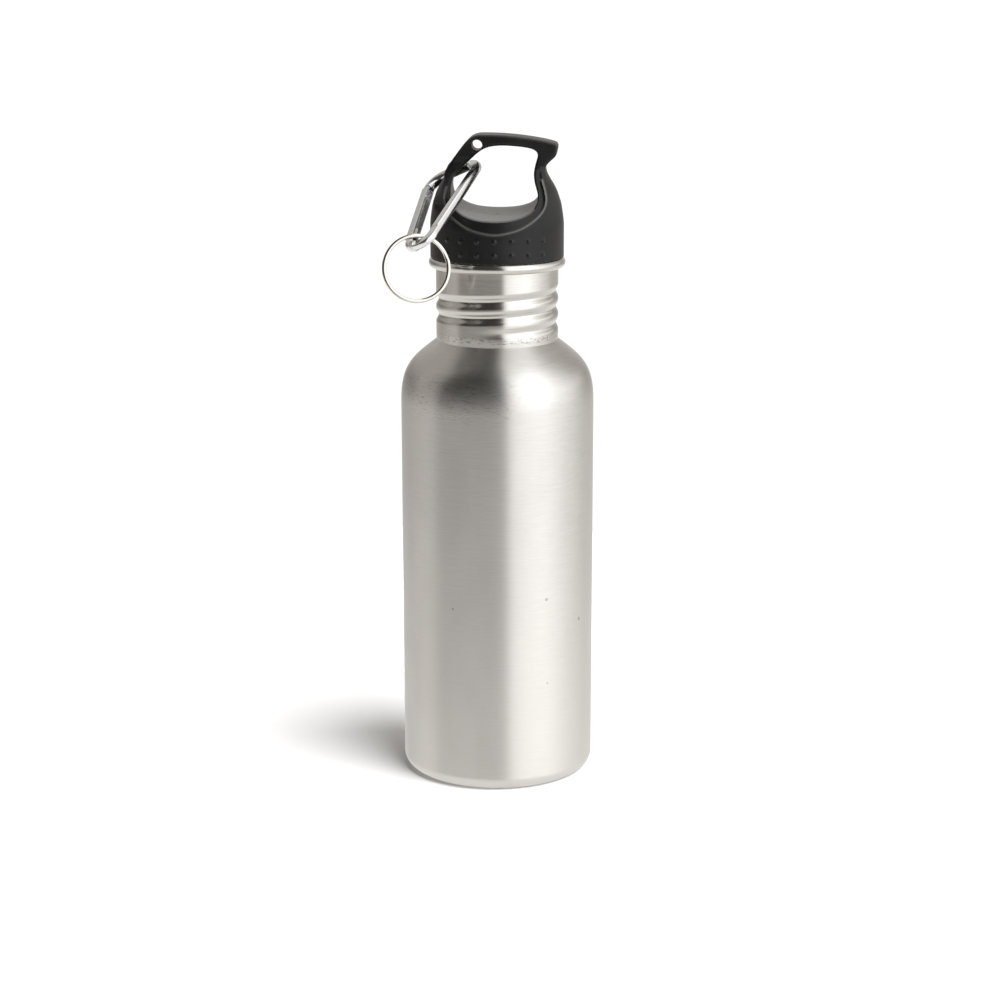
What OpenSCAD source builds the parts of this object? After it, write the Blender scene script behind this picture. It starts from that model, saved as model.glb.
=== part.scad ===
// Single-wall steel sports bottle with a screw cap, a loop, a snap hook and a split ring.
// Millimetres. +Z is up the bottle's axis and z = 0 is the surface that it stands on.

/* [Body] */
// Outer diameter of the body
body_d = 73; // [72:0.5:74]
// Wall of the steel body and neck
wall = 0.6; // [0.5:0.05:0.7]
// Height at which the straight side ends and the shoulder starts
side_top = 144.5; // [130:0.5:146]
// Radius of the rounded lower edge
base_edge = 5; // [4:0.5:6]
// Height of the recess under the base
base_recess = 2.4; // [1.6:0.2:3.2]

/* [Neck] */
// Radius of the neck at the crests between the grooves
neck_r = 23; // [22.9:0.05:23.1]
// Depth of the rolled groove
groove = 1; // [0.6:0.1:1]
// Rise of the thread in one turn
pitch = 6; // [6:0.5:6]
// Height of the rolled rim's centre
rim_z = 197.2; // [197:0.1:197.2]

/* [Cap] */
// Radius of the skirt
skirt_r = 25; // [24.8:0.1:25.2]
// Thickness of the finger loop, front to back
loop_t = 13; // [12:0.5:14]
// Diameter of the lanyard hole
hole_d = 4; // [3:0.5:4]
// How far the cap is screwed past square, in degrees
cap_turn = 2.5; // [0:0.5:5]
// Radius of one grip bump
dot_r = 1.05; // [0.8:0.05:1.2]

/* [Snap hook] */
// Diameter of the hook's bar
bar_d = 4; // [3.6:0.1:4.1]
// Thickness of the gate's sheet
gate_t = 0.5; // [0.4:0.05:0.6]

/* [Split ring] */
// Outer diameter of the split ring
ring_od = 25; // [24:0.5:26]
// Width of its flat wire
ring_w = 1.5; // [1.3:0.1:1.6]

/* [Hidden] */
$fn = 96;

body_r = body_d / 2;
foot_r = neck_r - 0.1;      // radius at the foot of the neck
foot_z = 168;               // height of the weld between shoulder and neck
slope = 38.4;               // slope of the shoulder where it meets the neck
edge_c = [body_r - base_edge, base_edge];   // centre of the lower edge's rounding
seam_a = 42;                // where the base is welded, measured up from straight down

// --- curves -------------------------------------------------------------
SH = [[body_r, side_top], [body_r, side_top + 14.1],
      [foot_r + 11.1 * cos(slope), foot_z - 11.1 * sin(slope)], [foot_r, foot_z]];
function bez(P, t) = pow(1 - t, 3) * P[0] + 3 * pow(1 - t, 2) * t * P[1] + 3 * (1 - t) * t * t * P[2] + pow(t, 3) * P[3];
function dbez(P, t) = 3 * pow(1 - t, 2) * (P[1] - P[0]) + 6 * (1 - t) * t * (P[2] - P[1]) + 3 * t * t * (P[3] - P[2]);
function inset(P, t, w) = let(d = dbez(P, t), n = d / norm(d)) bez(P, t) - w * [n[1], -n[0]];
function arc_pts(c, r, a0, a1, n) = [for (i = [0:n]) c + r * [cos(a0 + (a1 - a0) * i / n), sin(a0 + (a1 - a0) * i / n)]];
function smooth(a, b, x) = let(t = min(1, max(0, (x - a) / (b - a)))) t * t * (3 - 2 * t);

// --- body ---------------------------------------------------------------
module body_shell() {
  color("silver") rotate_extrude() polygon(concat(
    arc_pts(edge_c, base_edge, -90 + seam_a, 0, 6),
    [for (i = [0:28]) bez(SH, i / 28)],
    [[foot_r, foot_z - wall / cos(slope)]],
    [for (i = [0:26]) inset(SH, 0.98 * (1 - i / 26), wall)],
    arc_pts(edge_c, base_edge - wall, 0, -90 + seam_a, 6)));
}

module base_disc() {
  rr = base_recess;
  color("silver") rotate_extrude() polygon(concat(
    [[0, rr], [edge_c[0] - 6, rr], [edge_c[0] - 5.2, rr - 0.3], [edge_c[0] - 3.2, 0.3], [edge_c[0] - 2.4, 0]],
    arc_pts(edge_c, base_edge, -90, -90 + seam_a, 4),
    arc_pts(edge_c, base_edge - wall, -90 + seam_a, -90, 4),
    [[edge_c[0] - 2.1, wall], [edge_c[0] - 2.9, wall + 0.3], [edge_c[0] - 4.9, rr + 0.35], [edge_c[0] - 5.9, rr + wall], [0, rr + wall]]));
}

// --- neck ---------------------------------------------------------------
// Height of the groove's centre line nearest to a height z at an angle a, one turn rising by the pitch
groove_0 = 180.5;
function turn_u(a, z) = (z - groove_0 - pitch * a / 360) / pitch;
function groove_in(a, z) = let(u = turn_u(a, z), du = u - round(u), zc = z - pitch * du)
  groove * pow(pow(cos(180 * du), 2), 1.5) * smooth(172.6, 174.4, zc) * (1 - smooth(187.4, 189.4, zc));
neck_seg = 48;
neck_rows = concat([foot_z - wall / cos(slope), 169.6, 171.2], [for (i = [0:20]) 172.2 + 0.87 * i], [192.4]);
rim_a = 1.6; rim_b = 1.9; rim_r = neck_r + 1;
// each row is a radius, a height, and whether the groove bends it
neck_prof = concat(
  [[foot_r, neck_rows[0], 0], [foot_r + 0.05, neck_rows[1], 0]],
  [for (i = [2:len(neck_rows) - 1]) [neck_r, neck_rows[i], 1]],
  [for (a = [240:30:540]) [rim_r + rim_a * cos(a), rim_z + rim_b * sin(a), 0]],
  [for (i = [len(neck_rows) - 1:-1:2]) [neck_r - wall, neck_rows[i], 1]],
  [[foot_r + 0.05 - wall, neck_rows[1], 0], [foot_r - wall, neck_rows[0], 0]]);
module neck_collar() {
  n = len(neck_prof); m = neck_seg;
  pts = [for (p = neck_prof) for (j = [0:m - 1]) let(a = 360 * j / m, r = p[0] - (p[2] > 0 ? groove_in(a, p[1]) : 0))
    [r * cos(a), r * sin(a), p[1]]];
  fcs = [for (i = [0:n - 1]) for (j = [0:m - 1]) let(i2 = (i + 1) % n, j2 = (j + 1) % m, A = i * m + j, B = i2 * m + j, C = i2 * m + j2, D = i * m + j2)
    each [[A, B, C], [A, C, D]]];
  color("silver") polyhedron(points = pts, faces = fcs, convexity = 8);
}

// --- screw plug ---------------------------------------------------------
plug_r = 20.9;
plug_z0 = 176.5;
rib_seg = 36;
rib_z0 = groove_0 - pitch / 2;   // the rib runs midway between the neck's grooves
module thread_rib() {
  n = 60;
  function amt(i) = min(1, min(i, n - i) / 5);
  pts = [for (i = [0:n]) let(a = 60 + i * 360 / rib_seg, z = rib_z0 + pitch * a / 360, h = 0.12 + 1.13 * amt(i))
    for (q = [[plug_r - 0.25, -1.5], [plug_r - 0.25, 1.5], [plug_r - 0.25 + h, 0.7], [plug_r - 0.25 + h, -0.7]])
      [q[0] * cos(a), q[0] * sin(a), z + q[1]]];
  fcs = concat([[0, 1, 2, 3]],
    [for (i = [0:n - 1]) for (k = [0:3]) let(k2 = (k + 1) % 4, A = i * 4 + k, B = i * 4 + k2, C = (i + 1) * 4 + k2, D = (i + 1) * 4 + k) each [[A, D, C], [A, C, B]]],
    [[n * 4 + 3, n * 4 + 2, n * 4 + 1, n * 4]]);
  polyhedron(points = pts, faces = fcs, convexity = 6);
}
module cap_plug() {
  color([0.09, 0.09, 0.09]) {
    union() {
      rotate_extrude() polygon([[19.6, plug_z0], [plug_r - 0.6, plug_z0], [plug_r, plug_z0 + 0.8], [plug_r, 197.5],
        [22, 198.2], [22, 203], [19, 203], [19, plug_z0 + 1.6], [19.6, plug_z0 + 1.6]]);
      thread_rib();
    }
  }
}
module plug_disc() {
  color([0.12, 0.12, 0.12]) translate([0, 0, plug_z0 + 0.1]) cylinder(r = 19.55, h = 1.45);
}
module cap_gasket() {
  color("white") rotate_extrude() polygon([[22.4, 199.2], [24, 199.2], [24.2, 199.4], [24.2, 200.3], [24, 200.5], [22.4, 200.5], [22.2, 200.3], [22.2, 199.4]]);
}

// --- cap ----------------------------------------------------------------
bell = [[skirt_r, 212], [skirt_r - 0.3, 214.5], [skirt_r - 0.65, 217], [23.95, 219.3], [23.2, 221.5], [22.5, 223.6],
        [21.3, 226], [20, 228], [18.9, 230], [18.2, 231.8], [17.8, 233.2]];
opening = [[-16.4, 221.5], [-16.8, 225.3], [-16.3, 228.3], [-15.4, 229.8], [-13.7, 231.6], [-11.9, 233.3], [-9.3, 235.7],
           [-7, 237.9], [-5, 239.3], [-3.3, 240], [-1, 240.5], [3, 240.7], [8.5, 240.3], [12.5, 239.7], [14.4, 238.9],
           [15.3, 237.7], [15.2, 236.3], [14.6, 234.5], [14, 232], [13.9, 230], [14.3, 227.5], [15, 225.5], [15.6, 223.5],
           [15.5, 221.3], [14.6, 219.3], [13, 217.7], [10, 216.2], [6, 215.2], [0, 214.8], [-6, 215.2], [-10, 216.2],
           [-13, 217.7], [-15.2, 219.6]];
loop_outer = [[-17, 217], [-17.5, 226], [-19.6, 229.6], [-19.3, 230.9], [-17.1, 234.4], [-14.8, 237.5], [-12.6, 240.4], [-10.2, 243],
              [-8.9, 243.9], [-7.4, 244.5], [-5.5, 244.7], [1, 244.6], [8.5, 244], [16, 242.9], [20.5, 241.9], [22.3, 241.3],
              [22.9, 240.2], [22.5, 238.2], [21.9, 236.7], [20.4, 235.4], [19, 234.1], [18.1, 232.7], [18, 231.2], [18.2, 229.8],
              [17.5, 226], [17, 217]];
// the line that bounds the sunk band on the front and the back
ridge = [[0, 209.7], [6.5, 210.9], [9.6, 211.9], [12, 213.1], [14.2, 214.5], [16.1, 216.1], [17.4, 217.6], [18.3, 219.4],
         [18.7, 221.5], [18.4, 223.6], [17.9, 225.7], [17.2, 227.8], [16.6, 229.8], [16.4, 232], [14, 234], [-14, 234], [-16.6, 232], [-17.2, 229.8], [-17.8, 227.8],
         [-18.3, 225.7], [-18.8, 223.6], [-19, 221.5], [-18.4, 219.4], [-17.4, 217.6], [-16.1, 216.1], [-14.2, 214.5],
         [-12, 213.1], [-9.6, 211.9], [-6.5, 210.9]];
module across(d) rotate([90, 0, 0]) translate([0, 0, -d / 2]) linear_extrude(d) children();
module bell_solid(cut, z0) rotate_extrude() polygon(concat([[0, z0], [skirt_r - cut, z0]], [for (p = bell) [p[0] - cut, p[1]]], [[0, 233.2]]));
module cap_shell() {
  color([0.06, 0.06, 0.065]) rotate([0, 0, -cap_turn]) difference() {
    union() {
      rotate_extrude() polygon(concat([[0, 199.4], [24.4, 199.4], [skirt_r - 0.1, 199], [skirt_r, 199.2]], bell, [[0, 233.2]]));
      across(loop_t) polygon(loop_outer);
      for (s = [0, 180]) rotate([0, 0, s]) for (k = [-3:3]) for (z = [202.4, 207.4])
        rotate([0, 0, -90 + 15 * k]) translate([skirt_r - 0.55, 0, z]) sphere(r = dot_r);
    }
    across(70) polygon(opening);
    // shoulders of the two legs fall away to the thickness of the loop, and the leg that the hook hangs on is waisted
    for (s = [0, 1]) mirror([0, s, 0]) rotate([90, 0, 90]) {
      translate([0, 0, -9.6]) linear_extrude(44.6)
        polygon([[15.8, 223.3], [11.7, 227.8], [9.2, 230.6], [loop_t / 2, 233.4], [loop_t / 2, 250], [40, 250], [40, 223.3]]);
      translate([0, 0, -40]) linear_extrude(30.41)
        polygon([[18.4, 219.5], [15, 221], [12, 223], [9, 225], [6.4, 227], [4.4, 229], [3.4, 230.6], [3.1, 232], [3.1, 234.4], [3.6, 236.6], [4.6, 239],
                 [5.8, 241.4], [loop_t / 2, 243.5], [loop_t / 2, 250], [40, 250], [40, 219.5]]);
    }
    // the sunk band
    intersection() {
      across(70) polygon(ridge);
      difference() { translate([0, 0, 205]) cylinder(r = 30, h = 35); bell_solid(0.6, 200); translate([-30, -7.5, 200]) cube([60, 15, 45]); }
    }
    translate([0, 0, 198]) cylinder(r = 24.35, h = 2.65);
    translate([0, 0, 198]) cylinder(r = 22, h = 8);
    translate([0, 0, 205.99]) cylinder(r1 = 22, r2 = 13.5, h = 5.81);
    translate([-7.2, 0, 240.8]) rotate([90, 0, 0]) translate([0, 0, -20]) cylinder(d = hole_d, h = 40);
  }
}

// --- snap hook ----------------------------------------------------------
// The hook is drawn flat: x runs up its straight back, y from the back to the gate. Then it is turned into place.
hook_at = [-23.64, -35.04, 211];
hook_turn = [-20.6, -29.45, 64.3];
bar_r = bar_d / 2;
hk_top = [48.6, 0]; hk_nose = [44, 23]; hk_ear = [-4.6, 8.2]; hk_toe = [-2.2, 0];
function unit(v) = v / norm(v);
// end, centre and start of the bend that rounds corner p
function bend_of(p0, p, p1, r) = let(a = unit(p0 - p), b = unit(p1 - p), h = acos(a * b) / 2, t = r / tan(h))
  [p + a * t, p + unit(a + b) * r / sin(h), p + b * t];
bt = bend_of(hk_toe, hk_top, hk_nose, 6.5);
bn = bend_of(hk_top, hk_nose, hk_ear, 6);
be = bend_of(hk_nose, hk_ear, hk_toe, 4.2);
bo = bend_of(hk_ear, hk_toe, hk_top, 4.6);
gate_dir = unit(hk_nose - hk_ear);                 // along the gate, from its pin to its free end
gate_out = [-gate_dir[1], gate_dir[0]];            // out of the hook
gate_in = hk_toe * gate_out > hk_ear * gate_out ? gate_out : -gate_out;
pin_at = be[0] + gate_dir * 2.4;                   // the gate's pin
nose_at = bn[2] - gate_dir * 0.2;                  // where the bar ends and its tongue starts
gate_len = norm(nose_at - pin_at);
module placed() translate(hook_at) rotate(hook_turn) children();
// points along a bend, and the bar swept along the whole hook from the ear to the nose
function arc_of(b, n) = let(u = b[0] - b[1], v = b[2] - b[1], d = atan2(u[0] * v[1] - u[1] * v[0], u * v))
  [for (i = [0:n]) let(t = d * i / n) b[1] + [u[0] * cos(t) - u[1] * sin(t), u[0] * sin(t) + u[1] * cos(t)]];
bar_path = concat(arc_of(be, 10), arc_of(bo, 10), arc_of(bt, 10), arc_of(bn, 10));
module bar_sweep(P, r, sides) {
  n = len(P) - 1;
  function way(i) = unit(P[min(n, i + 1)] - P[max(0, i - 1)]);
  pts = [for (i = [0:n]) let(s = [-way(i)[1], way(i)[0]]) for (k = [0:sides - 1]) let(b = 360 * (k + 0.5) / sides)
    [P[i][0] + r * cos(b) * s[0], P[i][1] + r * cos(b) * s[1], r * sin(b)]];
  fcs = concat([[for (k = [0:sides - 1]) k]],
    [for (i = [0:n - 1]) for (k = [0:sides - 1]) let(k2 = (k + 1) % sides, A = i * sides + k, B = i * sides + k2, C = (i + 1) * sides + k2, D = (i + 1) * sides + k) each [[A, C, B], [A, D, C]]],
    [[for (k = [sides - 1:-1:0]) n * sides + k]]);
  polyhedron(points = pts, faces = fcs, convexity = 6);
}
module on_gate() translate([pin_at[0], pin_at[1], 0]) rotate([0, 0, atan2(gate_dir[1], gate_dir[0])])
  mirror([0, gate_dir[0] * gate_in[1] - gate_dir[1] * gate_in[0] < 0 ? 1 : 0, 0]) children();
ear_t = bar_d - 2 * gate_t - 0.5;                  // thickness of the flattened ends inside the gate
module carabiner_frame() {
  color([0.8, 0.8, 0.82]) placed() difference() {
    union() {
      bar_sweep(bar_path, bar_r, 24);
      // flattened ear that the gate turns on
      on_gate() translate([0, 0, -ear_t / 2]) { cylinder(r = 1.45, h = ear_t); translate([-3, -1.45, 0]) cube([3, 2.9, ear_t]); }
      // tongue on the nose that the gate closes over
      on_gate() translate([gate_len - 1.6, -1.55, -ear_t / 2]) cube([2.4, 2.75, ear_t]);
    }
    on_gate() translate([0, 0, -5]) cylinder(r = 0.65, h = 10);
  }
}
module carabiner_gate() {
  w = bar_r; i = bar_r - gate_t;
  color([0.78, 0.78, 0.8]) placed() on_gate() difference() {
    // a channel with its open side facing into the hook
    rotate([90, 0, 90]) translate([0, 0, -2.3]) linear_extrude(gate_len + 1.9)
      polygon([[1.7, -w], [1.7, -i], [-1.3, -i], [-1.6, -i + 0.5], [-1.6, i - 0.5], [-1.3, i], [1.7, i], [1.7, w], [-1.4, w], [-2.1, w - 0.7], [-2.1, -w + 0.7], [-1.4, -w]]);
    // the free end is open on the outside where the tongue lies, so that it can swing in
    translate([gate_len - 1.9, -2.5, -ear_t / 2 - 0.12]) cube([3, 2.5, ear_t + 0.24]);
    translate([0, 0, -5]) cylinder(r = 0.6, h = 10);
    // round heel about the pin
    translate([0, 0, -5]) difference() { translate([-4, -4, 0]) cube([4, 8, 10]); translate([0, 0, -1]) cylinder(r = 2.1, h = 12); }
  }
}
module gate_pin() {
  color([0.7, 0.7, 0.72]) placed() on_gate() {
    translate([0, 0, -bar_r]) cylinder(r = 0.6, h = bar_d);
    for (s = [0, 1]) mirror([0, 0, s]) translate([0, 0, bar_r]) cylinder(r1 = 1, r2 = 0.7, h = 0.35);
  }
}
module gate_spring() {
  n = 84; sides = 6; turns = 7; r = 0.75; wire = 0.2; len = 6;
  pts = [for (i = [0:n]) let(a = 360 * turns * i / n, x = 1.9 + len * i / n) for (k = [0:sides - 1]) let(b = 360 * k / sides)
    [x + wire * sin(b), (r + wire * cos(b)) * cos(a), (r + wire * cos(b)) * sin(a)]];
  fcs = concat([[for (k = [0:sides - 1]) k]],
    [for (i = [0:n - 1]) for (k = [0:sides - 1]) let(k2 = (k + 1) % sides, A = i * sides + k, B = i * sides + k2, C = (i + 1) * sides + k2, D = (i + 1) * sides + k) each [[A, D, C], [A, C, B]]],
    [[for (k = [sides - 1:-1:0]) n * sides + k]]);
  color([0.6, 0.6, 0.62]) placed() on_gate() polyhedron(points = pts, faces = fcs, convexity = 10);
}

// --- split ring ---------------------------------------------------------
ring_at = [-29.1, -34.1, 199.3];
ring_lean = [-10, 0, 10];
ring_t = 0.75;              // thickness of one turn of the flat wire
module split_ring() {
  n = 96; a0 = 22; a1 = 698; rm = (ring_od - ring_w) / 2;
  pts = [for (i = [0:n]) let(a = a0 + (a1 - a0) * i / n, z = -0.42 + 0.84 * smooth(342, 378, a))
    for (q = [[-ring_w / 2, -ring_t / 2], [ring_w / 2, -ring_t / 2], [ring_w / 2, ring_t / 2], [-ring_w / 2, ring_t / 2]])
      [(rm + q[0]) * cos(a), (rm + q[0]) * sin(a), z + q[1]]];
  fcs = concat([[0, 1, 2, 3]],
    [for (i = [0:n - 1]) for (k = [0:3]) let(k2 = (k + 1) % 4, A = i * 4 + k, B = i * 4 + k2, C = (i + 1) * 4 + k2, D = (i + 1) * 4 + k) each [[A, D, C], [A, C, B]]],
    [[n * 4 + 3, n * 4 + 2, n * 4 + 1, n * 4]]);
  color([0.75, 0.73, 0.7]) translate(ring_at) rotate(ring_lean) rotate([90, 0, 0]) rotate([0, 0, 38]) polyhedron(points = pts, faces = fcs, convexity = 10);
}

body_shell();
base_disc();
neck_collar();
cap_shell();
cap_plug();
plug_disc();
cap_gasket();
carabiner_frame();
carabiner_gate();
gate_pin();
gate_spring();
split_ring();
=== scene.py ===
import math
import bpy
import bmesh
import numpy as np
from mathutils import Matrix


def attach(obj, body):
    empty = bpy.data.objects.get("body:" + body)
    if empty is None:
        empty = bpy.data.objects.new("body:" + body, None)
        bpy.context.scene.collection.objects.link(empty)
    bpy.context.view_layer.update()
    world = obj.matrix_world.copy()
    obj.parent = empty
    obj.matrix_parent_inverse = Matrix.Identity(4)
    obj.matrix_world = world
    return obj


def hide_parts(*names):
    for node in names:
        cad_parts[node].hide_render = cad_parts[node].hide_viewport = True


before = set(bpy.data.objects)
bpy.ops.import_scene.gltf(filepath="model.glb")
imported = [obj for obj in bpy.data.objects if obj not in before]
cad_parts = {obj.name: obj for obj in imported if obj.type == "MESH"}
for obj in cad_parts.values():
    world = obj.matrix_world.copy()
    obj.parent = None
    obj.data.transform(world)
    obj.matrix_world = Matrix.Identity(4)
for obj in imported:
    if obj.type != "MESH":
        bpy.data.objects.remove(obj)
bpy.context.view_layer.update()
import openvdb as vdb
from mathutils import Matrix, Vector

MM = 0.001

# ---------------------------------------------------------------- camera
cam_d = bpy.data.cameras.new("cam")
cam = bpy.data.objects.new("cam", cam_d)
bpy.context.scene.collection.objects.link(cam)
cam_d.sensor_fit = "HORIZONTAL"
cam_d.sensor_width = 36
cam_d.lens = 85.453
cam_d.clip_end = 60
cam.matrix_world = (Matrix.Translation((0.000944, -0.88609, 0.31981))
                    @ Matrix.Rotation(math.radians(90 - 13.6256), 4, "X") @ Matrix.Rotation(math.radians(-0.0843), 4, "Z"))
bpy.context.scene.camera = cam


# ---------------------------------------------------------------- mesh helpers (all in mm)
def make(name, pts, faces, body, slot_name, mat, nodes=(), sharp=None, marks=None):
    me = bpy.data.meshes.new(name)
    pts = np.asarray(pts, float) * MM
    me.from_pydata([tuple(p) for p in pts], [], [tuple(f) for f in faces])
    bm = bmesh.new(); bm.from_mesh(me)
    bmesh.ops.remove_doubles(bm, verts=bm.verts, dist=1e-7)
    bmesh.ops.recalc_face_normals(bm, faces=bm.faces)
    bm.to_mesh(me); bm.free()
    me.polygons.foreach_set("use_smooth", [True] * len(me.polygons))
    if sharp:
        me.set_sharp_from_angle(angle=math.radians(sharp))
    me.update()
    if marks:
        co = np.empty(len(me.vertices) * 3)
        me.vertices.foreach_get("co", co)
        for key, fn in marks.items():
            a = me.attributes.new(key, "FLOAT", "POINT")
            a.data.foreach_set("value", np.asarray(fn(co.reshape(-1, 3) / MM), np.float32))
    ob = bpy.data.objects.new(name, me)
    bpy.context.scene.collection.objects.link(ob)
    me.materials.append(mat)
    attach(ob, body)
    if nodes:
        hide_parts(*nodes)
    return ob


def lathe(profile, seg):
    """Closed profile of (r, z) turned about Z."""
    pts, faces, rows = [], [], []
    for r, z in profile:
        if r < 1e-6:
            rows.append([len(pts)] * seg); pts.append((0, 0, z))
        else:
            rows.append(list(range(len(pts), len(pts) + seg)))
            pts += [(r * math.cos(2 * math.pi * j / seg), r * math.sin(2 * math.pi * j / seg), z) for j in range(seg)]
    n = len(profile)
    for i in range(n):
        a, b = rows[i], rows[(i + 1) % n]
        for j in range(seg):
            f = []
            for v in (a[j], b[j], b[(j + 1) % seg], a[(j + 1) % seg]):
                if v not in f:
                    f.append(v)
            if len(f) > 2:
                faces.append(f)
    return pts, faces


def grid_faces(n, m, closed_n, closed_m):
    out = []
    for i in range(n if closed_n else n - 1):
        for j in range(m if closed_m else m - 1):
            i2, j2 = (i + 1) % n, (j + 1) % m
            out.append((i * m + j, i2 * m + j, i2 * m + j2, i * m + j2))
    return out


def poly_sdf(X, Y, poly):
    """Signed distance to a closed polygon, negative inside."""
    P = np.asarray(poly, float)
    d = np.full(X.shape, 1e9); s = np.ones(X.shape)
    for i in range(len(P)):
        a, b = P[i], P[i - 1]
        e = b - a; wx = X - a[0]; wy = Y - a[1]
        t = np.clip((wx * e[0] + wy * e[1]) / max(e @ e, 1e-12), 0, 1)
        d = np.minimum(d, (wx - t * e[0]) ** 2 + (wy - t * e[1]) ** 2)
        c1 = Y >= a[1]; c2 = Y < b[1]; c3 = e[0] * wy > e[1] * wx
        s = np.where((c1 & c2 & c3) | (~c1 & ~c2 & ~c3), -s, s)
    return s * np.sqrt(d)


def smax(a, b, k):
    h = np.maximum(k - np.abs(a - b), 0) / k
    return np.maximum(a, b) + h * h * k / 4


def smin(a, b, k):
    return -smax(-a, -b, k)


def ss(a, b, x):
    t = np.clip((x - a) / (b - a), 0, 1)
    return t * t * (3 - 2 * t)


def chaikin(P, n=2, keep=()):
    P = [np.array(p, float) for p in P]
    for _ in range(n):
        Q = []
        for i in range(len(P)):
            a, b = P[i], P[(i + 1) % len(P)]
            Q += [a * 0.75 + b * 0.25, a * 0.25 + b * 0.75]
        P = Q
    return [tuple(p) for p in P]


def sdf_mesh(fn, lo, hi, h):
    """Meshes the zero level of fn(X, Y, Z), which is negative inside."""
    ax = [np.arange(lo[i], hi[i] + h, h) for i in range(3)]
    V = fn(ax[0][:, None, None], ax[1][None, :, None], ax[2][None, None, :])
    V = np.clip(V, -3 * h, 3 * h).astype(np.float32)
    g = vdb.FloatGrid(3 * h)
    g.copyFromArray(np.ascontiguousarray(V), tolerance=0)
    pts, quads = g.convertToQuads(isovalue=0)
    return pts * h + np.array(lo), [tuple(int(v) for v in q) for q in quads]


def bez(P, t):
    return (1 - t) ** 3 * P[0] + 3 * (1 - t) ** 2 * t * P[1] + 3 * (1 - t) * t * t * P[2] + t ** 3 * P[3]


def unit(v):
    return v / np.linalg.norm(v)


# ---------------------------------------------------------------- node helpers
def new_mat(name):
    m = bpy.data.materials.new(name)
    m.use_nodes = True
    nt = m.node_tree
    for n in list(nt.nodes):
        if n.type != "OUTPUT_MATERIAL":
            nt.nodes.remove(n)
    b = nt.nodes.new("ShaderNodeBsdfPrincipled")
    nt.links.new(b.outputs[0], nt.nodes["Material Output"].inputs[0])
    return m, nt, b


def noise(nt, scale, detail=3, rough=0.5, dist=0.0, size=1.0):
    tc = nt.nodes.new("ShaderNodeTexCoord")
    mp = nt.nodes.new("ShaderNodeMapping")
    mp.inputs["Scale"].default_value = scale if isinstance(scale, tuple) else (scale,) * 3
    n = nt.nodes.new("ShaderNodeTexNoise")
    n.inputs["Scale"].default_value = size
    n.inputs["Detail"].default_value = detail
    n.inputs["Roughness"].default_value = rough
    n.inputs["Distortion"].default_value = dist
    nt.links.new(tc.outputs["Object"], mp.inputs[0])
    nt.links.new(mp.outputs[0], n.inputs["Vector"])
    return n.outputs[0]


def remap(nt, v, a, b, c, d, smooth=False):
    n = nt.nodes.new("ShaderNodeMapRange")
    if smooth:
        n.interpolation_type = "SMOOTHSTEP"
    for i, x in enumerate((a, b, c, d)):
        n.inputs[i + 1].default_value = x
    nt.links.new(v, n.inputs[0])
    return n.outputs[0]


def math_n(nt, op, a, b=None):
    n = nt.nodes.new("ShaderNodeMath")
    n.operation = op
    for i, v in enumerate((a, b)):
        if v is None:
            continue
        if isinstance(v, (int, float)):
            n.inputs[i].default_value = v
        else:
            nt.links.new(v, n.inputs[i])
    return n.outputs[0]


def mix_col(nt, fac, c1, c2):
    n = nt.nodes.new("ShaderNodeMix")
    n.data_type = "RGBA"
    ins = [s for s in n.inputs if s.type == "RGBA"]
    for s, c in zip(ins, (c1, c2)):
        if isinstance(c, tuple):
            s.default_value = (*c, 1)
        else:
            nt.links.new(c, s)
    fs = n.inputs[0]
    if isinstance(fac, (int, float)):
        fs.default_value = fac
    else:
        nt.links.new(fac, fs)
    return [o for o in n.outputs if o.type == "RGBA"][0]


def bump(nt, b, height, strength, distance):
    n = nt.nodes.new("ShaderNodeBump")
    n.inputs["Strength"].default_value = strength
    n.inputs["Distance"].default_value = distance
    nt.links.new(height, n.inputs["Height"])
    nt.links.new(n.outputs[0], b.inputs["Normal"])
    return n


def xyz(nt):
    tc = nt.nodes.new("ShaderNodeTexCoord")
    s = nt.nodes.new("ShaderNodeSeparateXYZ")
    nt.links.new(tc.outputs["Object"], s.inputs[0])
    return s.outputs


def spot(nt, p, r0, r1):
    """1 near the point p (mm), falling to 0 between r0 and r1."""
    tc = nt.nodes.new("ShaderNodeTexCoord")
    v = nt.nodes.new("ShaderNodeVectorMath")
    v.operation = "DISTANCE"
    v.inputs[1].default_value = tuple(c * MM for c in p)
    nt.links.new(tc.outputs["Object"], v.inputs[0])
    return remap(nt, v.outputs["Value"], r0 * MM, r1 * MM, 1, 0, True)


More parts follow.
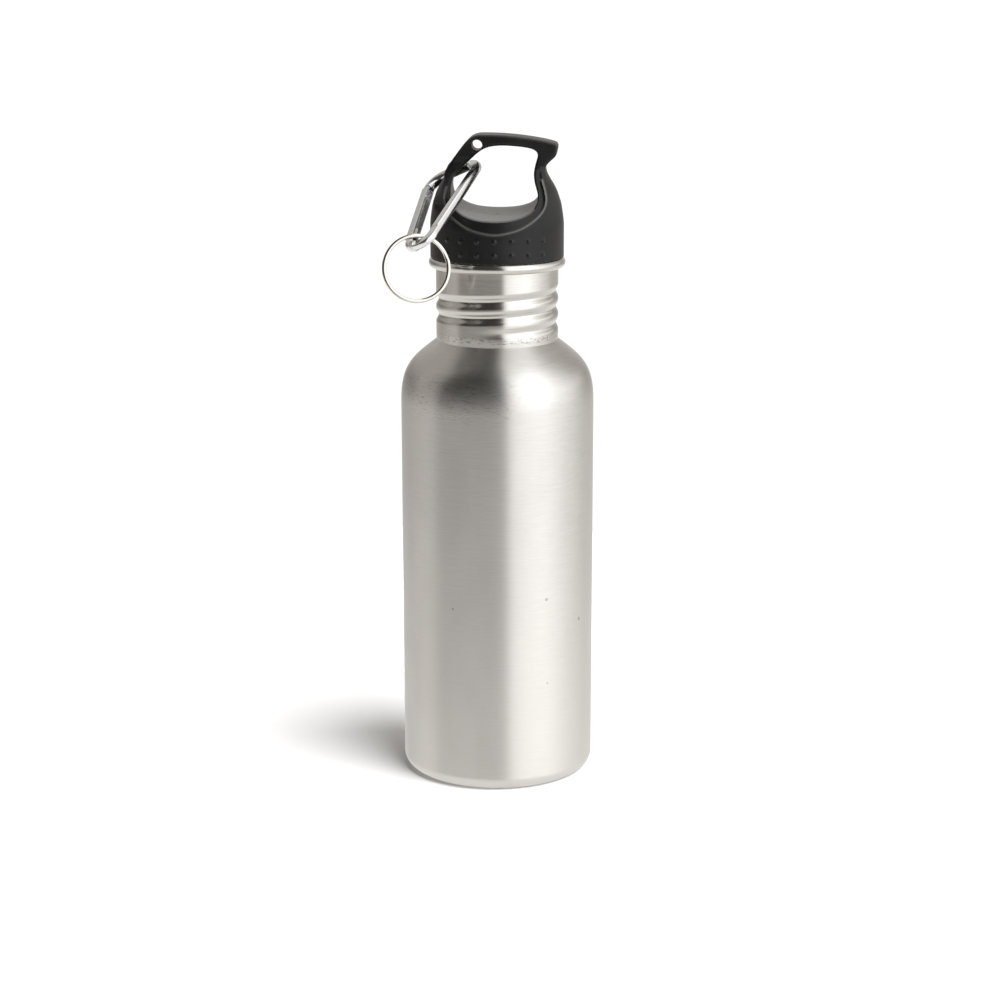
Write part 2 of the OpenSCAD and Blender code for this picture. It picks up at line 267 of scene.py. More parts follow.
def steel(name, base, rough, aniso, brush, patch, specks=()):
    m, nt, b = new_mat(name)
    fine = noise(nt, (90, 90, 7500), 3, 0.6)
    mid = noise(nt, (170, 170, 2300), 2, 0.5)
    cloud = noise(nt, (55, 55, 22), 3, 0.55)
    lines = math_n(nt, "ADD", math_n(nt, "MULTIPLY", fine, 0.6), math_n(nt, "MULTIPLY", mid, 0.4))
    col = mix_col(nt, remap(nt, lines, 0.3, 0.7, 0, 1), tuple(c * 0.9 for c in base), tuple(min(1, c * 1.07) for c in base))
    col = mix_col(nt, remap(nt, cloud, 0.35, 0.7, 0, patch), col, tuple(c * 0.8 for c in base))
    # painted reflection of the white table: the lower body is lightened towards the base, except along its far left
    # edge
    painted_floor_reflection = math_n(nt, "MULTIPLY", remap(nt, xyz(nt)[2], 0.13, 0.01, 0, 0.45, True), remap(nt, xyz(nt)[0], -0.036, -0.026, 0, 1, True))
    col = mix_col(nt, painted_floor_reflection, col, (0.84, 0.82, 0.79))
    # short dark brush marks where the shoulder was blended in by hand; they are kept strong on the left half only,
    # which also paints shade on the shoulder's darker side
    dash = noise(nt, (420, 420, 4200), 2, 0.5)
    band = math_n(nt, "MULTIPLY", remap(nt, xyz(nt)[2], 0.139, 0.146, 0, 1, True), remap(nt, xyz(nt)[2], 0.156, 0.160, 1, 0, True))
    # weaker to the right of x = 0: painted shade on the left of the shoulder
    band = math_n(nt, "MULTIPLY", band, remap(nt, xyz(nt)[0], 0.0, 0.012, 1, 0.2, True))
    col = mix_col(nt, math_n(nt, "MULTIPLY", remap(nt, dash, 0.57, 0.70, 0, 0.5, True), band), col, (0.14, 0.13, 0.12))
    # scribbled grinding marks along the weld at the foot of the neck
    scar = noise(nt, (620, 620, 1300), 3, 0.6)
    seam = math_n(nt, "MULTIPLY", remap(nt, xyz(nt)[2], 0.1690, 0.1696, 0, 1, True), remap(nt, xyz(nt)[2], 0.1710, 0.1719, 1, 0, True))
    col = mix_col(nt, math_n(nt, "MULTIPLY", remap(nt, scar, 0.50, 0.64, 0, 0.5, True), seam), col, (0.18, 0.17, 0.16))
    r = math_n(nt, "ADD", remap(nt, lines, 0.25, 0.75, rough - 0.05, rough + 0.05), remap(nt, cloud, 0.3, 0.7, -0.02, 0.03))
    for p, s in specks:
        k = spot(nt, p, s * 0.4, s)
        col = mix_col(nt, math_n(nt, "MULTIPLY", k, 0.45), col, (0.10, 0.09, 0.08))
    nt.links.new(col, b.inputs["Base Color"])
    nt.links.new(r, b.inputs["Roughness"])
    b.inputs["Metallic"].default_value = 1
    b.inputs["Anisotropic"].default_value = aniso
    b.inputs["Anisotropic Rotation"].default_value = 0.25
    tg = nt.nodes.new("ShaderNodeTangent")
    tg.direction_type = "RADIAL"; tg.axis = "Z"
    nt.links.new(tg.outputs[0], b.inputs["Tangent"])
    bump(nt, b, lines, brush, 0.00002)
    return m


STEEL = steel("brushed_steel", (0.66, 0.645, 0.625), 0.34, 0.7, 0.35, 0.25,
              specks=(((18.3, -31.6, 74.3), 0.8), ((30.8, -19.6, 63.4), 0.9), ((18.7, -31.3, 41.4), 0.5), ((-16.8, -32.4, 70.9), 0.6)))
NECK = steel("rolled_steel", (0.64, 0.625, 0.60), 0.21, 0.5, 0.2, 0.2)


def mark(nt, key):
    n = nt.nodes.new("ShaderNodeAttribute")
    n.attribute_name = key
    return n.outputs["Fac"]


def plastic(name, base, rough, grain, marked=False):
    m, nt, b = new_mat(name)
    g = noise(nt, 2600, 2, 0.6)
    c = noise(nt, 70, 3, 0.5)
    col = mix_col(nt, remap(nt, c, 0.35, 0.7, 0, 1), base, tuple(v * 1.5 + 0.003 for v in base))
    r = math_n(nt, "ADD", remap(nt, g, 0.3, 0.7, rough - 0.04, rough + 0.05), remap(nt, c, 0.3, 0.7, -0.03, 0.04))
    if marked:
        # painted highlight: edges and the opening's floor lightened, and dots polished by fingers
        painted_highlight = math_n(nt, "MULTIPLY", mark(nt, "painted_highlight"), remap(nt, c, 0.3, 0.7, 0.75, 1))
        col = mix_col(nt, painted_highlight, col, (0.105, 0.105, 0.10))
        r = math_n(nt, "SUBTRACT", r, math_n(nt, "MULTIPLY", mark(nt, "dots"), 0.25))
    nt.links.new(col, b.inputs["Base Color"])
    nt.links.new(r, b.inputs["Roughness"])
    b.inputs["Specular IOR Level"].default_value = 0.26
    bump(nt, b, g, grain, 0.00003)
    return m


CAP = plastic("cap_polypropylene", (0.0045, 0.0045, 0.0048), 0.37, 0.35, True)
PLUG = plastic("plug_polypropylene", (0.014, 0.014, 0.015), 0.45, 0.3)


def bright(name, base, rough, dent, scale=900):
    m, nt, b = new_mat(name)
    g = noise(nt, scale, 3, 0.55)
    c = noise(nt, 160, 2, 0.5)
    col = mix_col(nt, remap(nt, c, 0.3, 0.7, 0, 1), base, tuple(v * 0.9 for v in base))
    nt.links.new(col, b.inputs["Base Color"])
    nt.links.new(remap(nt, g, 0.3, 0.7, rough - 0.04, rough + 0.06), b.inputs["Roughness"])
    b.inputs["Metallic"].default_value = 1
    bump(nt, b, g, dent, 0.00004)
    return m


ALU = bright("tumbled_aluminium", (0.86, 0.865, 0.87), 0.19, 0.1)
ALU_DULL = bright("pressed_aluminium", (0.74, 0.745, 0.75), 0.29, 0.012)
NICKEL = bright("nickel_plate", (0.70, 0.665, 0.61), 0.11, 0.1)

m_, nt_, b_ = new_mat("silicone")
g_ = noise(nt_, 900, 2, 0.5)
nt_.links.new(mix_col(nt_, g_, (0.78, 0.78, 0.75), (0.86, 0.86, 0.84)), b_.inputs["Base Color"])
nt_.links.new(remap(nt_, g_, 0.3, 0.7, 0.42, 0.52), b_.inputs["Roughness"])
b_.inputs["Subsurface Weight"].default_value = 0.2
b_.inputs["Subsurface Radius"].default_value = (0.002, 0.002, 0.002)
bump(nt_, b_, g_, 0.2, 0.00003)
SILICONE = m_

# ---------------------------------------------------------------- body
wall = 0.6
body_r, edge_r, neck_r = 36.5, 5.0, 23.0
foot_r, foot_z, slope = neck_r - 0.1, 168.0, math.radians(38.4)
SH = [np.array(p) for p in ((body_r, 144.5), (body_r, 158.6), (foot_r + 11.1 * math.cos(slope), foot_z - 11.1 * math.sin(slope)), (foot_r, foot_z))]
ec = np.array([body_r - edge_r, edge_r])


def arc(c, r, a0, a1, n):
    return [tuple(c + r * np.array([math.cos(math.radians(a0 + (a1 - a0) * i / n)), math.sin(math.radians(a0 + (a1 - a0) * i / n))])) for i in range(n + 1)]


sh_out = [tuple(bez(SH, i / 70)) for i in range(71)]
sh_in = []
for i in range(60, -1, -1):
    t = 0.98 * i / 60
    d = bez(SH, t + 1e-4) - bez(SH, t); d = unit(d)
    sh_in.append(tuple(bez(SH, t) - wall * np.array([d[1], -d[0]])))
sa = -90 + 42
prof = ([tuple(ec + (edge_r - 0.14) * np.array([math.cos(math.radians(sa)), math.sin(math.radians(sa))]))]
        + arc(ec, edge_r, sa + 1.6, 0, 22) + [(body_r, 5.0 + (144.5 - 5.0) * i / 24) for i in range(1, 24)] + sh_out
        + [(foot_r, foot_z - wall / math.cos(slope))] + sh_in
        + [(body_r - wall, 144.5 - (144.5 - 5.0) * i / 12) for i in range(1, 12)] + arc(ec, edge_r - wall, 0, sa, 14))
make("bottle_side", *lathe(prof, 288), "bottle", "steel", STEEL, ["body_shell"], sharp=50)
rr = 2.4
prof = ([(0, rr), (12, rr), (ec[0] - 6.4, rr)] + [(ec[0] - 6.4 + 4.0 * t, rr - rr * float(ss(0, 1, t))) for t in np.linspace(0.08, 1, 14)]
        + arc(ec, edge_r, -90, sa - 1.6, 14)
        + [tuple(ec + (edge_r - 0.14) * np.array([math.cos(math.radians(sa)), math.sin(math.radians(sa))]))]
        + arc(ec, edge_r - wall, sa, -90, 12)
        + [(ec[0] - 2.2 - 4.1 * t, wall + rr * float(ss(0, 1, t))) for t in np.linspace(0, 1, 14)] + [(0, rr + wall)])
make("bottle_base", *lathe(prof, 288), "bottle", "steel", STEEL, ["base_disc"], sharp=50)

# ---------------------------------------------------------------- neck with its rolled thread
pitch, g0 = 6.0, 180.5


def groove(a, z):
    u = (z - g0 - pitch * a / 360) / pitch
    du = u - np.round(u)
    zc = z - pitch * du
    return 1.0 * np.abs(np.cos(math.pi * du)) ** 3 * ss(172.6, 174.4, zc) * (1 - ss(187.4, 189.4, zc))


zr = np.concatenate([np.linspace(171.2, 191.6, 126), [192.4, 193.2, 194.0]])
rows = [(foot_r, foot_z - wall / math.cos(slope), 0), (foot_r, foot_z - 0.25, 0), (foot_r + 0.02, foot_z + 0.5, 0), (foot_r + 0.05, 169.6, 0)]
rows += [(neck_r, z, 1) for z in zr]
rim = [(24 + 1.6 * math.cos(math.radians(a)), 197.2 + 1.9 * math.sin(math.radians(a)), 0) for a in range(232, 549, 6)]
rows += [(neck_r + 0.02, 194.9, 0)] + rim
rows += [(neck_r - wall, z, 1) for z in zr[::-1]]
rows += [(foot_r + 0.05 - wall, 169.6, 0), (foot_r - wall, foot_z - wall / math.cos(slope), 0)]
m = 420
A = np.arange(m) * 360.0 / m
pts = []
for r, z, g in rows:
    rad = r - (groove(A, z) if g else 0 * A)
    pts.append(np.stack([rad * np.cos(np.radians(A)), rad * np.sin(np.radians(A)), np.full(m, z)], 1))
make("bottle_neck", np.concatenate(pts), grid_faces(len(rows), m, True, True), "bottle", "steel_neck", NECK, ["neck_collar"], sharp=60)

# ---------------------------------------------------------------- cap
bell = [(25, 199.2), (25, 203), (25, 207), (25, 210), (25, 212), (24.7, 214.5), (24.35, 217), (23.95, 219.3), (23.2, 221.5), (22.5, 223.6),
        (21.3, 226), (20, 228), (18.9, 230), (18.2, 231.8), (17.8, 233.2), (12, 233.2), (0, 233.2)]
opening = [(-16.4, 221.5), (-16.8, 225.3), (-16.3, 228.3), (-15.4, 229.8), (-13.7, 231.6), (-11.9, 233.3), (-9.3, 235.7),
           (-7, 237.9), (-5, 239.3), (-3.3, 240), (-1, 240.5), (3, 240.7), (8.5, 240.3), (12.5, 239.7), (14.4, 238.9),
           (15.3, 237.7), (15.2, 236.3), (14.6, 234.5), (14, 232), (13.9, 230), (14.3, 227.5), (15, 225.5), (15.6, 223.5),
           (15.5, 221.3), (14.6, 219.3), (13, 217.7), (10, 216.2), (6, 215.2), (0, 214.8), (-6, 215.2), (-10, 216.2),
           (-13, 217.7), (-15.2, 219.6)]
loop_outer = [(-17, 217), (-17.5, 226), (-19.6, 229.6), (-19.3, 230.9), (-17.1, 234.4), (-14.8, 237.5), (-12.6, 240.4), (-10.2, 243),
              (-8.9, 243.9), (-7.4, 244.5), (-5.5, 244.7), (1, 244.6), (8.5, 244), (16, 242.9), (20.5, 241.9), (22.3, 241.3),
              (22.9, 240.2), (22.5, 238.2), (21.9, 236.7), (20.4, 235.4), (19, 234.1), (18.1, 232.7), (18, 231.2), (18.2, 229.8),
              (17.5, 226), (17, 217)]
ridge = [(0, 209.7), (6.5, 210.9), (9.6, 211.9), (12, 213.1), (14.2, 214.5), (16.1, 216.1), (17.4, 217.6), (18.3, 219.4),
         (18.7, 221.5), (18.4, 223.6), (17.9, 225.7), (17.2, 227.8), (16.6, 229.8), (16.4, 232), (14, 234), (-14, 234), (-16.6, 232),
         (-17.2, 229.8), (-17.8, 227.8), (-18.3, 225.7), (-18.8, 223.6), (-19, 221.5), (-18.4, 219.4), (-17.4, 217.6), (-16.1, 216.1),
         (-14.2, 214.5), (-12, 213.1), (-9.6, 211.9), (-6.5, 210.9)]
leg_cut = [(15.8, 223.3), (11.7, 227.8), (9.2, 230.6), (6.5, 233.4), (6.5, 250), (40, 250), (40, 223.3)]
waist_cut = [(18.4, 219.5), (15, 221), (12, 223), (9, 225), (6.4, 227), (4.4, 229), (3.4, 230.6), (3.1, 232), (3.1, 234.4), (3.6, 236.6),
             (4.6, 239), (5.8, 241.4), (6.5, 243.5), (6.5, 250), (40, 250), (40, 219.5)]
op_s, lo_s, ri_s = chaikin(opening), chaikin(loop_outer, 2), chaikin(ridge)
bell_s = [np.array(p_, float) for p_ in bell[:-2]]
for _ in range(2):
    bell_s = [bell_s[0]] + [a_ * w_ + b_ * (1 - w_) for a_, b_ in zip(bell_s[:-1], bell_s[1:]) for w_ in (0.75, 0.25)] + [bell_s[-1]]
bell_s = [tuple(p_) for p_ in bell_s] + bell[-2:]


def tab2(fn, u, v):
    """A 2D signed distance looked up at the broadcast arrays u and v through a fine table."""
    h = 0.1
    u0, v0 = float(u.min()) - 1, float(v.min()) - 1
    U = np.arange(u0, float(u.max()) + 1, h); W = np.arange(v0, float(v.max()) + 1, h)
    T = fn(U[:, None], W[None, :]).astype(np.float32)
    fu, fv = (u - u0) / h, (v - v0) / h
    iu, iv = np.clip(fu.astype(int), 0, len(U) - 2), np.clip(fv.astype(int), 0, len(W) - 2)
    du, dv = (fu - iu).astype(np.float32), (fv - iv).astype(np.float32)
    return (T[iu, iv] * (1 - du) + T[iu + 1, iv] * du) * (1 - dv) + (T[iu, iv + 1] * (1 - du) + T[iu + 1, iv + 1] * du) * dv


def bell_sdf(X, Y, Z):
    R = np.sqrt(X * X + Y * Y)
    prof = [(0, 199.4), (24.4, 199.4), (24.9, 199)] + bell_s
    return tab2(lambda u, v: poly_sdf(u + 0 * v, v + 0 * u, prof), R + 0 * Z, Z + 0 * R)


def cap_sdf(X, Y, Z):
    full = np.zeros(np.broadcast_shapes(X.shape, Y.shape, Z.shape), np.float32)
    bs = bell_sdf(X, Y, Z).astype(np.float32)
    aY = np.abs(Y)
    xz = lambda poly: poly_sdf(X[:, :, 0] + 0 * Z[0], Z[0] + 0 * X[:, :, 0], poly)[:, None, :].astype(np.float32)
    plate = smax(xz(lo_s), aY - 6.5, 1.1)
    D = smin(bs, plate + full, 1.0)
    # the sunk band in front and behind, with a thin rib left around it
    ri = xz(ri_s)
    cut = smax(smax(ri + full, 7.5 - aY, 0.3), -(bs + 0.62), 0.3)
    D = smax(D, -cut, 0.3)
    yz = lambda poly: poly_sdf(aY[0] + 0 * Z[0], Z[0] + 0 * aY[0], poly)[None, :, :].astype(np.float32)
    w = ss(-9.7, -5.2, X).astype(np.float32)
    D = smax(D, -(yz(leg_cut) * w + yz(waist_cut) * (1 - w)), 1.0)
    # rib along the edge of the band
    rib = np.sqrt((ri + full) ** 2 + (bs + 0.12) ** 2) - 0.34 + 2 * np.maximum(Z - 228.5, 0)
    rib = rib + 0.6 * np.maximum(Z - 222.0, 0) * (1 - ss(-16, -13, X))          # the hook lies here
    D = np.where(aY > 7.2, smin(D, rib, 0.3), D)
    D = smax(D, -(xz(op_s) + full), 1.1)
    R = np.sqrt(X * X + Y * Y) + 0 * Z
    for s in (0, 180):
        for k in range(-3, 4):
            a = math.radians(s - 90 + 15 * k)
            for z in (202.4, 207.4):
                q = np.sqrt((X - 24.45 * math.cos(a)) ** 2 + (Y - 24.45 * math.sin(a)) ** 2 + (Z - z) ** 2) - 1.04
                D = smin(D, q.astype(np.float32), 0.2)
    D = smax(D, -np.maximum(R - 24.35, Z - 200.65), 0.15)
    D = np.maximum(D, -np.maximum(R - 22, Z - 206))
    D = np.maximum(D, -np.maximum((R - (22 - 8.5 * (Z - 206) / 5.8)) * 0.56, np.maximum(Z - 211.8, 205.9 - Z)))
    D = smax(D, -(np.sqrt((X + 7.2) ** 2 + (Z - 240.8) ** 2) - 2 + full), 0.5)
    return D


h_cap = 0.26
p, q = sdf_mesh(cap_sdf, (-25.9, -26.3, 198.4), (25.9, 26.3, 245.6), h_cap)
t = math.radians(-2.5)
p = np.stack([p[:, 0] * math.cos(t) - p[:, 1] * math.sin(t), p[:, 0] * math.sin(t) + p[:, 1] * math.cos(t), p[:, 2]], 1)
ct, st = math.cos(t), math.sin(t)


def cap_frame(P):
    return P[:, 0] * ct + P[:, 1] * st, -P[:, 0] * st + P[:, 1] * ct, P[:, 2]


# painted highlight: a pale mark for the cap's base colour on its lit edges and on the opening's floor
def painted_highlight(P):
    x, y, z = cap_frame(P)
    # the rim around the sunk band is a painted highlight line, brighter on the right and in front, where the light
    # falls
    d = np.abs(poly_sdf(x, z, ri_s))
    e = np.exp(-(d / 0.4) ** 2) * (np.abs(y) > 7.6) * (z < 229)
    side = 0.55 + 0.45 * ss(-6, 12, x * np.sign(-y))
    # the floor of the opening gets a painted highlight, brighter towards the front, with the mould's line along it left
    # darker, and the top bar's edges get a painted highlight line
    o = poly_sdf(x, z, op_s)
    floor_ = (np.abs(o) < 0.5) * (z < 222.5) * (np.abs(x) < 14.5) * (0.6 + 0.25 * ss(-16, 4, -y)) * (1 - 0.5 * np.exp(-((y + 2 + 0.15 * x) / 0.45) ** 2))
    top = np.exp(-(poly_sdf(x, z, lo_s) / 0.5) ** 2) * ss(5.4, 6.2, np.abs(y)) * ss(236, 240, z) * 0.45
    return np.maximum(np.maximum(e * side * np.where(y < 0, 1, 0.8), floor_), top)


def dots(P):
    x, y, z = cap_frame(P)
    out = np.zeros(len(x))
    for s in (0, 180):
        for k in range(-3, 4):
            a = math.radians(s - 90 + 15 * k)
            for zz in (202.4, 207.4):
                out = np.maximum(out, 1 - ss(0.8, 1.2, np.sqrt((x - 25 * math.cos(a)) ** 2 + (y - 25 * math.sin(a)) ** 2 + (z - zz) ** 2)))
    return out


make("cap_moulding", p, q, "cap", "cap_black", CAP, ["cap_shell"], marks={"painted_highlight": painted_highlight, "dots": dots})

# ---------------------------------------------------------------- snap hook
AT = np.array([-23.64, -35.04, 211.0])


def euler(d):
    x, y, z = [math.radians(v) for v in d]
    return np.array((Matrix.Rotation(z, 3, "Z") @ Matrix.Rotation(y, 3, "Y") @ Matrix.Rotation(x, 3, "X")))


HR = euler((-20.6, -29.45, 64.3))
TOP, NOSE, EAR, TOE = [np.array(v, float) for v in ((48.6, 0), (44, 23), (-4.6, 8.2), (-2.2, 0))]


def bend(p0, p, p1, r):
    a, b = unit(p0 - p), unit(p1 - p)
    hh = math.acos(a @ b) / 2
    tt = r / math.tan(hh)
    return p + a * tt, p + unit(a + b) * r / math.sin(hh), p + b * tt


def bend_pts(b, n):
    u, v = b[0] - b[1], b[2] - b[1]
    d = math.atan2(u[0] * v[1] - u[1] * v[0], u @ v)
    return [b[1] + np.array([u[0] * math.cos(d * i / n) - u[1] * math.sin(d * i / n), u[0] * math.sin(d * i / n) + u[1] * math.cos(d * i / n)]) for i in range(n + 1)]


bt, bn, be, bo = bend(TOE, TOP, NOSE, 6.5), bend(TOP, NOSE, EAR, 6), bend(NOSE, EAR, TOE, 4.2), bend(EAR, TOE, TOP, 4.6)
gdir = unit(NOSE - EAR)
pin_at = be[0] + gdir * 2.4
nose_at = bn[2] - gdir * 0.2
gate_len = float(np.linalg.norm(nose_at - pin_at))
gin = np.array([gdir[1], -gdir[0]])          # from the gate towards the hook's back
bar_line = np.array(bend_pts(be, 16) + bend_pts(bo, 16) + bend_pts(bt, 20) + bend_pts(bn, 20))


def line_dist(X, Y, P):
    d = np.full(np.broadcast_shapes(X.shape, Y.shape), 1e9)
    for a, b in zip(P[:-1], P[1:]):
        e = b - a
        if e @ e < 1e-9:
            continue
        wx, wy = X - a[0], Y - a[1]
        tt = np.clip((wx * e[0] + wy * e[1]) / (e @ e), 0, 1)
        d = np.minimum(d, (wx - tt * e[0]) ** 2 + (wy - tt * e[1]) ** 2)
    return np.sqrt(d)


ear_t = 2.5
end_dir = unit(bn[2] - bend_pts(bn, 20)[-2])
start_dir = unit(be[0] - bend_pts(be, 16)[1])


def frame_sdf(X, Y, Z):
    d2 = line_dist(X[:, :, 0], Y[:, :, 0], bar_line)[:, :, None]
    D = np.sqrt(d2 * d2 + Z * Z) - 1.985
    # two flats pressed along the back, ending in a step above the bulb at the foot
    flat = np.abs(Z) - 1.62 + 0.38 * (1 - ss(4.2, 5.0, X)) + 0.38 * ss(36, 42, X)
    D = np.where(Y < 5.5, smax(D, flat + 0 * Y, 0.25), D)
    # square ends
    for pt, dr in ((bn[2], end_dir), (be[0], start_dir)):
        near = np.sqrt((X - pt[0]) ** 2 + (Y - pt[1]) ** 2) < 3.5
        D = np.where(near, smax(D, (X - pt[0]) * dr[0] + (Y - pt[1]) * dr[1] + 0 * Z, 0.3), D)
    # gate frame
    U = (X - pin_at[0]) * gdir[0] + (Y - pin_at[1]) * gdir[1]
    W = (X - pin_at[0]) * gin[0] + (Y - pin_at[1]) * gin[1]
    ear = smax(np.sqrt(U * U + W * W) - 1.45 + 0 * Z, np.abs(Z) - ear_t / 2, 0.2)
    neck = np.maximum(np.maximum(np.abs(W) - 1.45, np.abs(Z) - ear_t / 2), np.maximum(U, -3 - U))
    D = smin(D, np.minimum(ear, neck), 0.2)
    tongue = smax(smax(np.abs(W + 0.18) - 1.38, np.abs(Z) - ear_t / 2, 0.2), np.maximum(U - gate_len - 0.8, gate_len - 1.6 - U) + 0 * Z, 0.2)
    D = smin(D, tongue, 0.2)
    D = np.maximum(D, -(np.sqrt(U * U + W * W) - 0.64 + 0 * Z))
    return D


def gate_sdf(X, Y, Z):
    # X runs along the gate, Y into the hook, Z across it
    outer = [(1.7, -2), (1.7, 2), (-1.4, 2), (-2.1, 1.3), (-2.1, -1.3), (-1.4, -2)]
    inner = [(3, -1.5), (3, 1.5), (-1.3, 1.5), (-1.6, 1.0), (-1.6, -1.0), (-1.3, -1.5)]
    so = poly_sdf(Y[0] + 0 * Z[0], Z[0] + 0 * Y[0], chaikin(outer, 1))[None]
    si = poly_sdf(Y[0] + 0 * Z[0], Z[0] + 0 * Y[0], inner)[None]
    D = smax(so + 0 * X, -si, 0.12)
    D = smax(D, np.maximum(X - (gate_len - 0.4), -2.3 - X) + 0 * D, 0.15)
    D = smax(D, -np.maximum(np.maximum(gate_len - 1.9 - X, Y), np.abs(Z) - ear_t / 2 - 0.12), 0.1)
    D = smax(D, np.where(X < 0, np.sqrt(X * X + Y * Y) - 2.1, np.minimum(D, -1)) + 0 * Z, 0.15)
    D = np.maximum(D, -(np.sqrt(X * X + Y * Y) - 0.6 + 0 * Z))
    # a shallow dimple pressed around the rivet
    D = np.maximum(D, -(np.sqrt(X * X + Y * Y + (np.abs(Z) - 2.75) ** 2) - 1.15))
    return D


def to_world(p):
    return AT + p @ HR.T


def gate_to_hook(p):
    q3 = np.stack([gdir[0] * p[:, 0] + gin[0] * p[:, 1] + pin_at[0], gdir[1] * p[:, 0] + gin[1] * p[:, 1] + pin_at[1], p[:, 2]], 1)
    return q3


h_h = 0.14
p, q = sdf_mesh(frame_sdf, (-7.5, -3.0, -2.6), (51.2, 25.6, 2.6), h_h)
make("hook_bar", to_world(p), q, "hook", "aluminium", ALU, ["carabiner_frame"])
p, q = sdf_mesh(gate_sdf, (-2.9, -2.7, -2.5), (gate_len + 0.3, 2.3, 2.5), 0.11)
make("hook_gate", to_world(gate_to_hook(p)), q, "gate", "aluminium", ALU_DULL, ["carabiner_gate"])
prof = [(0, -2.3), (0.45, -2.3), (0.75, -2.22), (0.95, -2.05), (0.97, -1.97), (0.6, -1.95)]
prof = prof + [(0.6, 1.95)] + [(r, -z) for r, z in prof[:-1]][::-1]
pp, qq = lathe(prof, 40)
make("gate_rivet", to_world(gate_to_hook(np.array(pp, float))), qq, "gate", "aluminium", ALU, ["gate_pin"], sharp=50)

# spring in the gate's channel
pts, n, k8 = [], 420, 10
for i in range(n + 1):
    a = 2 * math.pi * 7 * i / n
    x = 1.9 + 6 * i / n
    for k in range(k8):
        b = 2 * math.pi * k / k8
        pts.append((x + 0.2 * math.sin(b), (0.75 + 0.2 * math.cos(b)) * math.cos(a), (0.75 + 0.2 * math.cos(b)) * math.sin(a)))
fc = grid_faces(n + 1, k8, False, True) + [tuple(range(k8)), tuple(n * k8 + k for k in range(k8))[::-1]]
make("gate_coil", to_world(gate_to_hook(np.array(pts))), fc, "gate", "spring_steel", NICKEL, ["gate_spring"], sharp=60)

# ---------------------------------------------------------------- split ring: two turns of flat wire with a step in each
RA = euler((-10, 0, 10)) @ euler((90, 0, 0)) @ euler((0, 0, 38))
RP = np.array([-29.1, -34.1, 199.3])
w2, t2, rm = 0.74, 0.37, 11.75
sec = []
for i in range(24):
    c_, s_ = math.cos(2 * math.pi * i / 24), math.sin(2 * math.pi * i / 24)
    sec.append((w2 * abs(c_) ** 0.86 * (1 if c_ > 0 else -1), t2 * abs(s_) ** 0.86 * (1 if s_ > 0 else -1)))
n = 560
pts = []
for i in range(n + 1):
    a = 22 + 676 * i / n
    z = -0.42 + 0.84 * float(ss(342, 378, a))
    s = 1.0 if 1 < i < n - 1 else 0.86
    for u, v in sec:
        pts.append(((rm + u * s) * math.cos(math.radians(a)), (rm + u * s) * math.sin(math.radians(a)), z + v * s))
ns = len(sec)
fc = grid_faces(n + 1, ns, False, True) + [tuple(range(ns)), tuple(n * ns + k for k in range(ns))[::-1]]
make("key_ring", RP + np.array(pts) @ RA.T, fc, "ring", "spring_steel", NICKEL, ["split_ring"], sharp=60)

# ---------------------------------------------------------------- plug, with its moulded thread
prof = ([(19.6, 176.5), (20.3, 176.5)] + arc(np.array([20.1, 177.3]), 0.8, -75, 0, 6) + [(20.9, 197.3), (21.0, 197.6), (21.9, 198.15), (22, 198.3), (22, 202.9), (19, 203), (19, 178.1), (19.6, 178.1)])
pp, qq = lathe(prof, 240)
n, base = 300, len(pp)
pp = list(pp); qq = list(qq)
sec = [(-0.25, -1.5), (0.05, -1.42), (0.5, -1.1), (0.9, -0.8), (1.0, -0.62), (1.0, 0.62), (0.9, 0.8), (0.5, 1.1), (0.05, 1.42), (-0.25, 1.5)]
for i in range(n + 1):
    a = 60 + 600.0 * i / n
    am = min(1, min(i, n - i) / 25)
    for u, v in sec:
        r = 20.9 + (-0.25 if u < 0 else u * am - 0.12 * (1 - am))
        pp.append((r * math.cos(math.radians(a)), r * math.sin(math.radians(a)), 177.5 + 6 * a / 360 + v))
k = len(sec)
qq += [tuple(base + x for x in f) for f in grid_faces(n + 1, k, False, True)]
qq += [tuple(base + x for x in range(k)), tuple(base + n * k + x for x in range(k))[::-1]]
make("plug_moulding", pp, qq, "cap", "plug_black", PLUG, ["cap_plug"], sharp=45)

prof = [(0, 176.6)] + [(r, 176.6) for r in (6, 12, 17)] + [(18.9, 176.62), (19.3, 176.8), (19.55, 177.1), (19.55, 178.0), (0, 178.05)]
make("plug_cover", *lathe(prof, 200), "cap", "plug_black", PLUG, ["plug_disc"], sharp=45)
prof = (arc(np.array([22.55, 199.55]), 0.35, 180, 270, 5) + arc(np.array([23.85, 199.55]), 0.35, 270, 360, 5)
        + arc(np.array([23.85, 200.15]), 0.35, 0, 90, 5) + arc(np.array([22.55, 200.15]), 0.35, 90, 180, 5))
make("seal_ring", *lathe(prof, 240), "seal", "silicone", SILICONE, ["cap_gasket"], sharp=60)

# ---------------------------------------------------------------- floor, lights
sc = bpy.context.scene
fm, fnt, fb = new_mat("floor")
fn_ = noise(fnt, 300, 2, 0.5)
fnt.links.new(mix_col(fnt, fn_, (0.90, 0.90, 0.90), (0.92, 0.92, 0.92)), fb.inputs["Base Color"])
fb.inputs["Roughness"].default_value = 0.7
fb.inputs["Specular IOR Level"].default_value = 0.2
N = 96
fp = [(-0.04, 0.03, 0)] + [(-0.04 + 0.34 * math.cos(2 * math.pi * i / N), 0.03 + 0.34 * math.sin(2 * math.pi * i / N), 0) for i in range(N)]
me = bpy.data.meshes.new("floor")
me.from_pydata(fp, [], [(0, 1 + i, 1 + (i + 1) % N) for i in range(N)])
floor = bpy.data.objects.new("floor", me)
sc.collection.objects.link(floor)
me.materials.append(fm)
floor.visible_glossy = False

